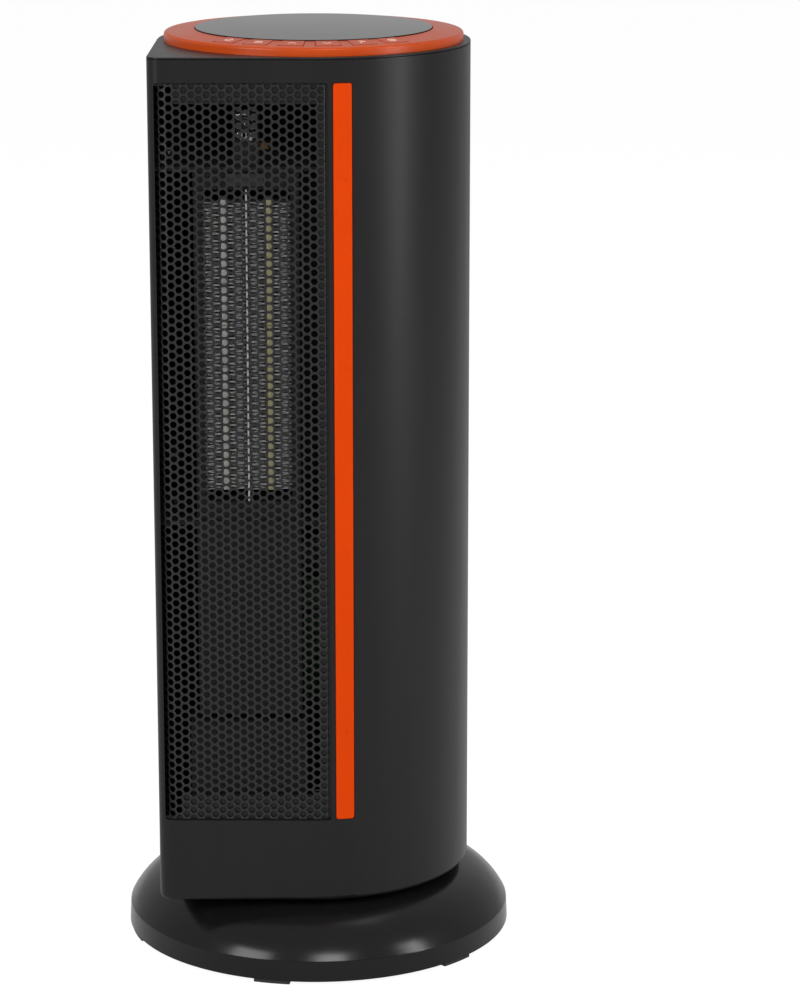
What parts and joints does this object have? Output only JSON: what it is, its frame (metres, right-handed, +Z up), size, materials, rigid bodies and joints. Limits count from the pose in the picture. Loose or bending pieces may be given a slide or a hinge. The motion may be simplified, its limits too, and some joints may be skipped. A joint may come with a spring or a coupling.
{
  "type": "tower fan heater",
  "caption": "Upright fan heater that swings on a round base: perforated front sheet over a ceramic element, blower inside, accent strip, key ring round a glossy display disc.",
  "frame": {"origin": "on the floor, on the swivel axis, under the middle of the round base", "axes": "the front with the perforated sheet faces -Y, +Z is up, +X is the viewer's right"},
  "size_m": [0.2304, 0.2304, 0.5447],
  "materials": {
    "charcoal_plastic": "satin",
    "base_plastic": "semi-gloss",
    "orange_plastic": "semi-gloss",
    "window_plastic": "gloss",
    "grille_steel": "satin black",
    "black_plastic": "matt",
    "frame_plastic": "matt, heat resistant",
    "bearing_plastic": "natural acetal",
    "rubber": "matt",
    "screw_steel": "zinc plated",
    "shaft_steel": "ground",
    "motor_steel": "plated",
    "bush_bronze": "sintered",
    "fin_aluminium": "folded strip",
    "ceramic": "ceramic stones in insulating film",
    "impeller_plastic": "matt",
    "board": "varnished",
    "component": "matt",
    "rocker_plastic": "gloss"
  },
  "bodies": {
    "base": {"base_cover": "base_plastic", "base_plate": "black_plastic", "base_feet": "rubber", "base_screws": "screw_steel", "cord_grommet": "rubber", "swivel_post": "bearing_plastic", "swing_gear": "bearing_plastic", "swivel_screws": "screw_steel", "thrust_washer": "bearing_plastic"},
    "tower": {"swivel_bush": "black_plastic", "tower_floor": "black_plastic", "floor_screws": "screw_steel", "swing_bracket": "black_plastic", "swing_motor": "motor_steel", "swing_screws": "screw_steel", "front_housing": "charcoal_plastic", "rear_housing": "charcoal_plastic", "housing_screws": "screw_steel", "front_grille": "grille_steel", "accent_strip": "orange_plastic", "top_cover": "charcoal_plastic", "control_ring": "orange_plastic", "display_window": "window_plastic", "control_board": "board", "key_switches": "component", "display_module": "component", "control_screws": "screw_steel", "heater_frame": "frame_plastic", "heater_plates": "fin_aluminium", "heater_stones": "ceramic", "heater_fins": "fin_aluminium", "thermal_cutout": "motor_steel", "duct_base": "black_plastic", "duct_top": "black_plastic", "ir_receiver": "board", "blower_scroll": "black_plastic", "top_bush": "bush_bronze", "fan_motor": "motor_steel", "blower_screws": "screw_steel", "intake_cover": "charcoal_plastic", "dust_filter": "black_plastic", "main_switch": "black_plastic", "power_board": "board", "power_screws": "screw_steel", "tip_over_switch": "black_plastic", "inner_floor_screws": "screw_steel", "motor_cover": "black_plastic", "wiring_box": "black_plastic"},
    "pinion": {"swing_pinion": "bearing_plastic"},
    "fan": {"impeller": "impeller_plastic", "fan_shaft": "shaft_steel"},
    "rocker": {"switch_rocker": "rocker_plastic"},
    "key_power_body": {"key_power": "orange_plastic"},
    "key_heat_body": {"key_heat": "orange_plastic"},
    "key_down_body": {"key_down": "orange_plastic"},
    "key_up_body": {"key_up": "orange_plastic"},
    "key_swing_body": {"key_swing": "orange_plastic"},
    "key_timer_body": {"key_timer": "orange_plastic"}
  },
  "joints": [
    {"name": "tower_swivel", "type": "hinge", "parent": "base", "child": "tower", "pos_m": [0, 0, 0.0494], "axis": [0, 0, 1], "range_deg": [-35, 35]},
    {"name": "pinion_spin", "type": "hinge", "parent": "tower", "child": "pinion", "pos_m": [0, 0.03615, 0.0527], "axis": [0, 0, 1], "range_deg": [-106, 106]},
    {"name": "fan_spin", "type": "hinge", "parent": "tower", "child": "fan", "pos_m": [-0.02815, -0.006, 0.37], "axis": [0, 0, 1], "continuous": true},
    {"name": "key_power_press", "type": "slide", "parent": "tower", "child": "key_power_body", "axis": [0, 0, -1], "range_m": [0, 0.0008], "stiffness_N_per_m": 900},
    {"name": "key_heat_press", "type": "slide", "parent": "tower", "child": "key_heat_body", "axis": [0, 0, -1], "range_m": [0, 0.0008], "stiffness_N_per_m": 900},
    {"name": "key_down_press", "type": "slide", "parent": "tower", "child": "key_down_body", "axis": [0, 0, -1], "range_m": [0, 0.0008], "stiffness_N_per_m": 900},
    {"name": "key_up_press", "type": "slide", "parent": "tower", "child": "key_up_body", "axis": [0, 0, -1], "range_m": [0, 0.0008], "stiffness_N_per_m": 900},
    {"name": "key_swing_press", "type": "slide", "parent": "tower", "child": "key_swing_body", "axis": [0, 0, -1], "range_m": [0, 0.0008], "stiffness_N_per_m": 900},
    {"name": "key_timer_press", "type": "slide", "parent": "tower", "child": "key_timer_body", "axis": [0, 0, -1], "range_m": [0, 0.0008], "stiffness_N_per_m": 900},
    {"name": "rocker_tilt", "type": "hinge", "parent": "tower", "child": "rocker", "pos_m": [0, 0.0879, 0.081], "axis": [1, 0, 0], "range_deg": [-8, 8]}
  ],
  "couplings": [
    {"joint": "pinion_spin", "follows": "tower_swivel", "ratio": 3}
  ]
}
